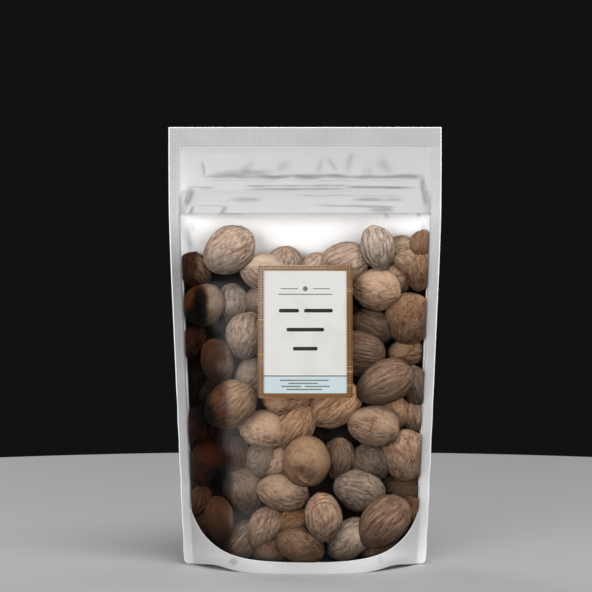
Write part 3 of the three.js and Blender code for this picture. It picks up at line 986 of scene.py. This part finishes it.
def build_shade_core(members):
    """The heap's dark middle, a closed lumpy cushion of painted shade: it stands CORE_DROP below the outline
    of the shown nuts, which over x is the highest of their circles, and fills the pouch from
    core_front to the back film."""
    share = np.linspace(-1.0, 1.0, CORE_COLUMNS)
    up = np.linspace(0.0, 1.0, CORE_ROWS)[:, None]
    wide = CORE_HALF_WIDTH * share
    outline = np.zeros_like(wide)
    for nut, centre, *_ in members:
        reach = nut.width / 2
        over = np.sqrt(np.clip(reach**2 - (wide - centre[0]) ** 2, 0.0, None))
        outline = np.maximum(outline, np.where(over > 0.0, centre[2] + over, 0.0))
    top = np.convolve(np.pad(outline, 4, mode="edge"), np.ones(9) / 9.0, mode="valid") - CORE_DROP
    z = CORE_FOOT + (top[None, :] - CORE_FOOT) * up
    x = share * (inner_half_width(z) - 0.7)
    back = film_depth(x, z) - 0.4
    front = np.minimum(core_front(x, z), back - 0.3)
    rim = np.minimum(np.minimum(up, 1.0 - up), 0.5 * (1.0 - np.abs(share)))
    front = back - 0.3 - (back - 0.3 - front) * smoothstep(rim, 0.0, 0.03)
    sheets = [np.stack([x, y, z], -1).reshape(-1, 3) for y in (front, back)]
    rows, columns = z.shape
    faces = grid_faces(rows, columns)
    behind = grid_faces(rows, columns, rows * columns)[..., ::-1]
    index = np.arange(rows * columns).reshape(rows, columns)
    loop = np.concatenate([index[0], index[1:, -1], index[-1, -2::-1], index[-2:0:-1, 0]])
    after = np.roll(loop, -1)
    wall = np.stack([after, loop, loop + rows * columns, after + rows * columns], axis=-1)
    quads = np.concatenate([faces.reshape(-1, 4), behind.reshape(-1, 4), wall])
    piece = mesh_piece("nutmegs_shade_core", np.concatenate(sheets), quads)
    piece.data.materials.append(heap_shade())
    carry(piece, "nutmeg")


# ---- The film ---------------------------------------------------------------------------

# Creases of the header and the foot, and those of the lining that show above the nuts: from
# (x, z) to (x, z), half width, height (negative is a groove), all in millimetres, and how far
# the line wanders.
# The films' colour is painted greyer in the creases' grooves, as shade.
Crease = namedtuple("Crease", "x0 z0 x1 z1 width height wander")

HEADER_CREASES = [
    Crease(-50.0, 184.3, 56.5, 184.1, 0.80, -0.60, 0.8),  # fold over the zip's upper edge
    Crease(-46.0, 184.6, -30.0, 186.2, 1.20, -0.30, 0.8),
    Crease(-37.0, 186.0, -12.0, 185.6, 1.30, -0.42, 0.8),
    Crease(-8.0, 184.6, 12.0, 184.4, 1.10, -0.30, 0.6),
    Crease(40.0, 184.2, 57.0, 184.0, 1.10, -0.40, 0.5),
    Crease(-50.0, 183.0, 56.0, 182.9, 0.40, 0.35, 0.9),
    Crease(-56.0, 179.3, -41.0, 178.6, 0.50, -0.45, 0.4),
    Crease(-31.0, 179.6, 24.0, 179.9, 0.38, -0.42, 0.1),  # the zip's two lips
    Crease(-31.0, 178.2, 24.0, 178.6, 0.38, -0.42, 0.1),
    Crease(-29.0, 178.9, 22.0, 179.2, 0.38, 0.45, 0.1),
    Crease(16.0, 179.3, 56.0, 178.8, 0.50, -0.60, 0.2),
    Crease(-8.0, 175.4, 50.0, 175.1, 0.40, -0.35, 0.3),
    Crease(20.0, 173.4, 49.0, 173.2, 0.75, -0.52, 0.2),
    Crease(28.0, 174.4, 50.0, 173.8, 0.35, -0.25, 0.1),
    Crease(-38.0, 173.5, -18.0, 173.3, 1.0, -0.48, 0.3),
    Crease(-54.0, 170.9, -33.0, 170.2, 0.35, -0.40, 0.2),
    Crease(0.0, 170.6, 46.0, 169.6, 0.45, -0.42, 0.4),
    Crease(28.0, 168.4, 44.0, 167.8, 1.3, -0.50, 0.5),
    Crease(-48.6, 192.5, -47.6, 184.0, 0.60, -0.60, 0.1),
    Crease(-53.0, 179.8, -57.5, 169.5, 1.5, -0.70, 0.3),
    Crease(-53.0, 171.0, -55.5, 165.0, 0.9, -0.50, 0.2),
    Crease(-37.0, 170.8, -40.5, 165.0, 0.9, -0.50, 0.2),
    Crease(55.5, 186.5, 58.5, 168.0, 1.4, -0.80, 0.3),
    Crease(-32.0, 185.5, -23.0, 192.5, 2.2, -0.26, 1.6),
    Crease(-14.0, 185.5, -5.0, 192.0, 2.0, -0.26, 1.6),
    Crease(5.0, 185.0, 9.5, 194.0, 1.4, -0.30, 1.2),
    Crease(17.0, 186.0, 10.5, 195.0, 1.4, -0.26, 1.2),
    Crease(19.0, 185.5, 24.5, 196.5, 1.6, -0.34, 1.4),
    Crease(26.0, 187.0, 33.0, 186.0, 2.2, -0.26, 1.2),
    Crease(33.0, 193.5, 43.0, 184.5, 2.2, -0.30, 1.6),
    Crease(-35.5, 5.4, -31.5, 2.6, 2.0, -0.45, 0.3),  # dimples near the foot
    Crease(-56.0, 30.0, -54.0, 8.0, 1.0, -0.30, 0.3),
    Crease(34.0, 7.0, 36.0, 2.0, 1.2, -0.25, 0.3),
]
LINING_FOLDS = [
    Crease(-58.2, 163.0, -54.6, 147.0, 1.7, -0.55, 0.4),
    Crease(-55.5, 166.0, -52.5, 156.0, 0.9, -0.18, 0.4),
    Crease(56.5, 164.0, 58.0, 152.0, 1.2, -0.30, 0.4),
]


def creased(x, z, creases):
    """Sum of the creases' heights: a bell across each line, uneven along it and fading at its
    two ends."""
    total = np.zeros_like(x)
    for layer, crease in enumerate(creases):
        start = np.array([crease.x0, crease.z0])
        run = np.array([crease.x1, crease.z1]) - start
        length = np.hypot(*run)
        way = run / length
        along = (x - start[0]) * way[0] + (z - start[1]) * way[1]
        across = (z - start[1]) * way[0] - (x - start[0]) * way[1]
        across = across + crease.wander * noise_on_plane(x, z, 11.0, layer)
        fade = min(9.0, 0.4 * length)
        ends = smoothstep(along, 0.0, fade) * (1.0 - smoothstep(along, length - fade, length))
        uneven = np.clip(0.85 + 0.55 * noise_on_plane(x, 0.3 * z, 8.0, 50.0 + layer), 0.2, 1.5)
        total += crease.height * uneven * ends * bell(across, 0.0, crease.width)
    return total


def film_relief(x, z, side):
    """What the film adds to its smooth form: slow waves, header creases and the weld's bead."""
    inner = inner_half_width(z)
    between = smoothstep(inner - np.abs(x), 0.0, 3.0) * smoothstep(HEIGHT - TOP_SEAL - z, 0.0, 2.0)
    header = smoothstep(z, 160.0, 170.0)
    waves = 0.30 * noise_on_plane(x, z, 30.0, 31.0 + side)
    waves += 0.05 * noise_on_plane(x, z, 12.0, 33.0 + side)
    ripple = 0.22 * noise_on_plane(x, z, 13.0, 35.0 + side)
    relief = between * (waves * (1.0 - 0.4 * header) + header * ripple)
    relief += between * creased(-side * x, z, HEADER_CREASES)
    if side > 0:
        relief += between * creased(x, z, LINING_FOLDS)
    above = smoothstep(z, 18.0, 34.0)
    relief += 0.28 * above * bell(np.abs(x), inner + 0.25, 0.40) * (z < HEIGHT - TOP_SEAL)
    relief += 0.28 * bell(z, HEIGHT - TOP_SEAL + 0.25, 0.40) * (np.abs(x) < inner)
    return relief


def weld_wave(x, z):
    """The welded edge isn't flat: it waves a little front to back, more towards the bottom."""
    beyond = smoothstep(np.abs(x), inner_half_width(z) - 6.0, half_width(z))
    slow, quick = noise_on_plane(x * 0.3, z, 21.0, 5.0), noise_on_plane(x * 0.3, z, 8.0, 6.0)
    return beyond * (0.5 * slow + 0.25 * quick)


def edge_wander(z):
    """The cut edge of the side welds isn't quite straight lower down."""
    return 0.35 * (1.0 - smoothstep(z, 40.0, 120.0)) * noise_on_plane(np.zeros_like(z), z, 9.0, 8.0)


def nut_pressure(x, z, members):
    """The front film stands out a little over each nut that presses on it, but not under the
    label: 0.35 exp(-(distance / spread)^2) for a nut that touches it."""
    total = np.zeros_like(x)
    for nut, centre, _, flat, _ in members:
        gap = film_depth(np.array(centre[0]), np.array(centre[2])) + centre[1] - flat * nut.width / 2
        touching = 1.0 - smoothstep(gap, 1.5, 6.0)
        spread = 0.42 * nut.width
        total += 0.35 * touching * np.exp(-((x - centre[0]) ** 2 + (z - centre[2]) ** 2) / spread**2)
    beside = np.abs(x) - LABEL_WIDTH / 2
    above = np.abs(z - LABEL_FOOT - LABEL_HEIGHT / 2) - LABEL_HEIGHT / 2
    return total * np.maximum(smoothstep(beside, 0.5, 4.0), smoothstep(above, 0.5, 4.0))


BODY_COLUMNS, GUSSET_COLUMNS = 168, 121
WELD_STEPS = np.array([0.2, 0.4, 0.6, 0.78, 0.91, 1.0])  # the last is the film's cut edge
WELD_COLUMNS = len(WELD_STEPS)
FOOT_ROWS, WINDOW_ROWS, HEADER_ROWS, SEAL_ROWS = 26, 90, 108, 10
# A fold's grey is painted shade.
FULL_FOLD = 0.45  # a crease of this depth is as grey as a fold gets


def film_grid():
    """Widths and heights of a film's points. Columns keep their share of the inner width. Rows
    follow the window's lower edge, then lie level: foot, window, header and top weld."""
    even = np.linspace(-1.0, 1.0, BODY_COLUMNS + 1)
    share = 0.45 * even + 0.55 * np.sin(np.pi / 2 * even)
    columns = len(share) + 2 * WELD_COLUMNS

    edge_x = share * inner_half_width(np.full_like(share, 20.0))
    for _ in range(4):
        edge_x = share * inner_half_width(window_foot(edge_x))
    foot = window_foot(edge_x)
    foot = np.concatenate([np.full(WELD_COLUMNS, foot[0]), foot, np.full(WELD_COLUMNS, foot[-1])])

    up = np.linspace(0.0, 1.0, FOOT_ROWS + 1)[:, None] ** 1.25
    rows = [foot[None, :] * up]
    up = np.linspace(0.0, 1.0, WINDOW_ROWS + 1)[1:, None]
    rows.append(foot[None, :] + (WINDOW_TOP - foot[None, :]) * up)
    seal_start = HEIGHT - TOP_SEAL
    up = np.linspace(WINDOW_TOP, seal_start, HEADER_ROWS + 1)[1:, None]
    rows.append(np.repeat(up, columns, axis=1))
    up = seal_start + TOP_SEAL * np.append(np.linspace(0.0, 0.95, SEAL_ROWS)[1:], 1.0)[:, None]
    rows.append(np.repeat(up, columns, axis=1))
    z = np.concatenate(rows)

    inner, outer = inner_half_width(z), half_width(z) + edge_wander(z)
    body = z[:, WELD_COLUMNS:-WELD_COLUMNS]
    x = np.zeros_like(z)
    x[:, WELD_COLUMNS:-WELD_COLUMNS] = share * inner_half_width(body)
    left, right = slice(0, WELD_COLUMNS), slice(-WELD_COLUMNS, None)
    x[:, left] = -(inner[:, left] + (outer - inner)[:, left] * WELD_STEPS[::-1])
    x[:, right] = inner[:, right] + (outer - inner)[:, right] * WELD_STEPS
    return x, z


def film_points(x, z, side, members):
    """A film in space: its form, relief and waves. side is -1 for the front and 1 for the back."""
    depth = film_depth(x, z) + film_relief(x, z, side)
    if side < 0:
        depth = depth + nut_pressure(x, z, members)
    lifted = z + rim_lift(x) * (1.0 - np.clip(z / RIM_HEIGHT, 0.0, 1.0))
    return np.stack([x, side * depth + weld_wave(x, z), lifted], axis=-1)


def used_only(name, points, faces, **attributes):
    """A piece of only the points that its faces use."""
    used, renumbered = np.unique(faces.reshape(-1), return_inverse=True)
    piece = mesh_piece(name, points[used], renumbered.reshape(-1, 4))
    for key, values in attributes.items():
        give_attribute(piece, key, values.ravel()[used], "FLOAT")
    return piece


def film_paleness(x, z):
    """Painted light and shade on the films: greyer towards the top and the left edge, paler at the foot's
    right.
    """
    heights = [0.0, 25.0, 60.0, 140.0, 165.0, 200.0]
    left = np.interp(z, heights, [1.20, 0.92, 0.68, 0.34, 0.89, 0.76])
    right = np.interp(z, heights, [1.50, 1.10, 0.82, 0.66, 0.87, 0.76])
    share = smoothstep(x, -50.0, 50.0)
    middle = 1.0 - 0.36 * bell(x, 0.0, 30.0) * (1.0 - smoothstep(z, 10.0, 40.0))
    return (left * (1.0 - share) + right * share) * middle


def film_piece(name, points, faces, part, finishes, **attributes):
    """A film with its thickness: the finishes are those of its face and then of its inside, each
    for the header, the welds and the cut edge."""
    piece = used_only(name, points, faces, **attributes)
    for finish in finishes:
        piece.data.materials.append(finish)
    piece.data.polygons.foreach_set("material_index", part.astype(np.int32))
    thicken(piece, FILM_THICKNESS).material_offset = len(finishes) // 2
    return piece


def build_film(members):
    """The front film, with its window a piece of its own, and the back film with its pale lining."""
    header = satin_film("header_film", (0.45, 0.447, 0.447), 0.03, graded=True)
    weld = knurled_film()
    edge, _, _ = new_finish("cut_edge", (0.66, 0.66, 0.66), 0.3)
    lining = satin_film("lining_film", (0.97, 0.97, 0.97), 0.02, roughness=0.5)
    finishes = (header, weld, edge, lining, weld, edge)
    x, z = film_grid()
    rows, columns = x.shape
    row = np.arange(rows - 1)[:, None]
    column = np.arange(columns - 1)[None, :]
    is_side = (column < WELD_COLUMNS) | (column >= columns - 1 - WELD_COLUMNS)
    is_top = row >= rows - 1 - SEAL_ROWS
    is_window = (row >= FOOT_ROWS) & (row < FOOT_ROWS + WINDOW_ROWS) & ~is_side
    is_edge = (column == 0) | (column == columns - 2) | (row == rows - 2)
    part = np.where(is_edge, 2, (is_side | is_top).astype(int))

    points = film_points(x, z, -1, members).reshape(-1, 3)
    faces = grid_faces(rows, columns)
    # fold: painted shade in the creases' grooves.
    fold = np.clip(-creased(x, z, HEADER_CREASES) / FULL_FOLD, 0.0, 1.0)
    # Painted light and shade across the front film.
    pale = film_paleness(x, z)
    printed = film_piece(
        "front_film", points, faces[~is_window], part[~is_window], finishes, fold=fold, paleness=pale
    )
    carry(printed, "pouch_film", "pouch")

    window = used_only("window_film", points, faces[is_window])
    window.data.materials.append(clear_film())
    thicken(window, WINDOW_THICKNESS)
    carry(window, "window_film")

    points = film_points(x, z, 1, members).reshape(-1, 3)
    faces = faces[..., ::-1].reshape(-1, 4)
    # fold: painted shade in the creases' grooves.
    fold = -(creased(-x, z, HEADER_CREASES) + creased(x, z, LINING_FOLDS))
    fold = np.clip(fold / FULL_FOLD, 0.0, 1.0)
    # Painted light and shade across the back film.
    pale = film_paleness(-x, z)
    behind = film_piece("back_film", points, faces, part.ravel(), finishes, fold=fold, paleness=pale)
    carry(behind, "pouch_film")


def build_gusset():
    """The underside: rings of the base outline shrunk towards the middle, up the inside of the
    bottom weld, over the groove and down to the flat on which the pouch stands."""
    film = satin_film("gusset_film", (0.44, 0.44, 0.443), 0.05)
    across = np.cos(np.linspace(np.pi, 0.0, GUSSET_COLUMNS))
    x = across * (inner_half_width(np.array(0.0)) - 0.3)
    y = -(film_depth(x, np.zeros_like(x)) - 0.25)
    outline = np.concatenate([np.stack([x, y], 1), np.stack([x, -y], 1)[::-1][1:-1]])
    rim = np.array([0.992, 0.985, 0.975, 0.962, 0.945, 0.925, 0.90, 0.88, 0.84])
    shares = np.concatenate([rim, [0.75, 0.6, 0.45, 0.3, 0.15]])
    rise = np.interp(shares, [0.88, 0.925, 0.962, 0.985, 0.992], [0.0, 0.35, 1.0, 0.7, 0.15])
    rings = []
    for share, up in zip(shares, rise):
        ring = outline * share
        lift = rim_lift(ring[:, 0]) * smoothstep(share, 0.96, 0.99)
        crumple = 0.25 * noise_on_plane(ring[:, 0], ring[:, 1], 9.0, 41.0) * smoothstep(share, 0.7, 0.9)
        height = np.maximum(GUSSET_THICKNESS, up * GROOVE_DEPTH + lift + np.abs(crumple))
        rings.append(np.column_stack([ring, height]))
    points = np.concatenate(rings + [[[0.0, 0.0, GUSSET_THICKNESS]]])
    size = len(outline)
    index = np.arange(len(shares) * size).reshape(len(shares), size)
    after = np.roll(index, -1, axis=1)
    quads = np.stack([index[1:], after[1:], after[:-1], index[:-1]], axis=-1).reshape(-1, 4)
    fan = np.stack([np.full(size, len(points) - 1), after[-1], index[-1]], axis=-1)
    piece = mesh_piece("gusset", points, quads, fan)
    piece.data.materials.append(film)
    thicken(piece, GUSSET_THICKNESS)
    carry(piece, "pouch_film")


# ---- The label --------------------------------------------------------------------------

def label_patch(name, left, right, low, high, lift, thickness, corner, material):
    """A printed field of the label: a rectangle with round corners that follows the front film
    at a height lift above it. Rows near a corner are drawn in by the corner's circle."""
    rows = np.linspace(low, high, max(3, int((high - low) / LABEL_STEP) + 2))
    if corner:
        steps = corner * np.array([0.0, 0.08, 0.25, 0.55, 1.0])
        straight = rows[(rows > low + corner) & (rows < high - corner)]
        rows = np.unique(np.concatenate([low + steps, straight, high - steps]))
    from_end = np.minimum(rows - low, high - rows)
    below = np.clip(corner - from_end, 0.0, None)
    inset = corner - np.sqrt(np.clip(corner**2 - below**2, 0.0, None))
    share = np.linspace(0.0, 1.0, max(3, int((right - left) / LABEL_STEP) + 2))
    x = (left + inset)[:, None] + ((right - left) - 2 * inset)[:, None] * share[None, :]
    z = np.repeat(rows[:, None], len(share), axis=1) + LABEL_FOOT
    y = -(film_depth(x, z) + LABEL_GAP + lift)
    points = np.stack([x, y, z], -1).reshape(-1, 3)
    piece = mesh_piece(name, points, grid_faces(*x.shape))
    piece.data.materials.append(material)
    thicken(piece, thickness)
    return carry(piece, "label_paper")


# Plain bars in the lettering's place: name, middle x, width, height, and height above the
# label's foot.
LABEL_PRINT = (
    ("label_title_rule", 0.0, 25.0, 0.45, 48.0),
    ("label_title_mark", 0.0, 2.2, 2.2, 50.6),
    ("label_title_left", -7.5, 8.0, 0.4, 50.6),
    ("label_title_right", 7.5, 8.0, 0.4, 50.6),
    ("label_bar_1", -7.6, 9.4, 1.7, 40.4),
    ("label_bar_2", 6.1, 13.4, 1.7, 40.4),
    ("label_bar_3", 0.0, 17.5, 1.7, 31.6),
    ("label_bar_4", 0.0, 11.5, 1.7, 22.8),
    ("label_line_1", -0.5, 22.5, 0.55, 8.2),
    ("label_line_2", -1.0, 13.5, 0.55, 6.8),
    ("label_line_3", -6.5, 9.0, 0.55, 5.4),
    ("label_line_4", 5.5, 11.5, 0.55, 5.4),
    ("label_line_5", -0.5, 16.5, 0.55, 4.0),
)


def build_label():
    """A woven brown ground with a cream panel, a grey rule and a blue-grey strip at its foot.
    The lettering's place holds plain bars."""
    half, top, thick = LABEL_WIDTH / 2, LABEL_HEIGHT, LABEL_THICKNESS
    ground = label_patch("label", -half, half, 0.0, top, thick, thick, LABEL_CORNER, woven_border())
    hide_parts("label")
    paper = printed_paper("cream_print", (0.430, 0.421, 0.406), 0.05)
    strip = printed_paper("blue_grey_print", (0.34, 0.40, 0.415), 0.03)
    dark = printed_paper("dark_print", (0.010, 0.010, 0.011), 0.2)
    grey = printed_paper("grey_print", (0.10, 0.10, 0.103), 0.1)
    face = thick + INK
    inner = half - LABEL_BORDER
    low, fold = LABEL_STRIP_FOOT, LABEL_STRIP_TOP
    label_patch("label_panel", -inner, inner, fold, top - LABEL_BORDER, face, INK, 0.3, paper)
    label_patch("label_strip", -inner, inner, low, fold, face, INK, 0.3, strip)
    label_patch("label_rule", -inner, inner, fold - 0.15, fold + 0.35, face + INK, INK, 0.0, grey)
    for name, middle, width, height, z in LABEL_PRINT:
        left, foot = middle - width / 2, z - height / 2
        ink = dark if "bar" in name else grey
        corner = 0.49 * height
        label_patch(name, left, left + width, foot, foot + height, face + INK, INK, corner, ink)


# ---- Stage, lights and camera -----------------------------------------------------------

def aim(thing, target):
    """Turns a thing so that its -Z axis points at the target."""
    way = Vector(target) - thing.location
    thing.rotation_euler = way.to_track_quat("-Z", "Y").to_euler()


def softbox(name, place, target, width, height, radiance, mirrors=True):
    """A rectangular softbox; its power is radiance times pi times its area. One that doesn't
    mirror lights the scene without being seen in glossy surfaces."""
    lamp = bpy.data.lights.new(name, "AREA")
    lamp.shape = "RECTANGLE"
    lamp.size, lamp.size_y = width, height
    lamp.energy = radiance * np.pi * width * height
    box = bpy.data.objects.new(name, lamp)
    box.location = place
    bpy.context.scene.collection.objects.link(box)
    aim(box, target)
    box.visible_camera = False
    box.visible_glossy = mirrors
    return box


def build_stage():
    """A pale round table top, soft light from the front, above and behind, and the camera."""
    scene = bpy.context.scene
    scene.view_settings.view_transform = "Standard"
    world = bpy.data.worlds.new("studio")
    world.use_nodes = True
    world.node_tree.nodes["Background"].inputs["Color"].default_value = (0.006, 0.006, 0.006, 1.0)
    scene.world = world

    steps = np.linspace(0.0, 2.0 * np.pi, FLOOR_SIDES, endpoint=False)
    rim = FLOOR_RADIUS * np.stack([np.cos(steps), np.sin(steps)], axis=-1)
    points = np.column_stack([np.append(rim, [[0.0, 0.0]], axis=0), np.full(FLOOR_SIDES + 1, -FLOOR_DROP)])
    index = np.arange(FLOOR_SIDES)
    fan = np.stack([np.full(FLOOR_SIDES, FLOOR_SIDES), index, np.roll(index, -1)], axis=-1)
    floor = mesh_piece("floor", points, [], fan, smooth=False)
    material, _, _ = new_finish("pale_floor", (0.42, 0.42, 0.42), 0.7)
    floor.data.materials.append(material)

    middle = (0.0, 0.0, 0.10)
    softbox("front_left", (-0.62, -1.20, 0.28), (0.0, 0.0, 0.14), 0.78, 0.7, 8.4)
    softbox("front_right", (0.55, -1.22, 0.14), (0.0, 0.0, 0.12), 1.0, 0.8, 5.0, mirrors=False)
    softbox("overhead", (0.30, -0.62, 1.35), middle, 1.0, 0.6, 9.0, mirrors=False)
    softbox("rear_left", (-0.8, 0.9, 0.7), middle, 0.6, 0.8, 4.0)
    softbox("rear_right", (0.9, 0.7, 0.6), middle, 0.6, 0.8, 2.5)

    camera = bpy.data.cameras.new("camera")
    camera.sensor_width = 36.0
    camera.lens = 106.5
    camera.clip_start = 0.05
    eye = bpy.data.objects.new("camera", camera)
    eye.location = (EYE_OFFSET * MM, -EYE_DISTANCE * MM, EYE_HEIGHT * MM)
    eye.rotation_euler = (np.pi / 2, 0.0, 0.0)
    scene.collection.objects.link(eye)
    scene.camera = eye


build_stage()
nut_members = build_nuts()
build_film(nut_members)
build_gusset()
build_label()
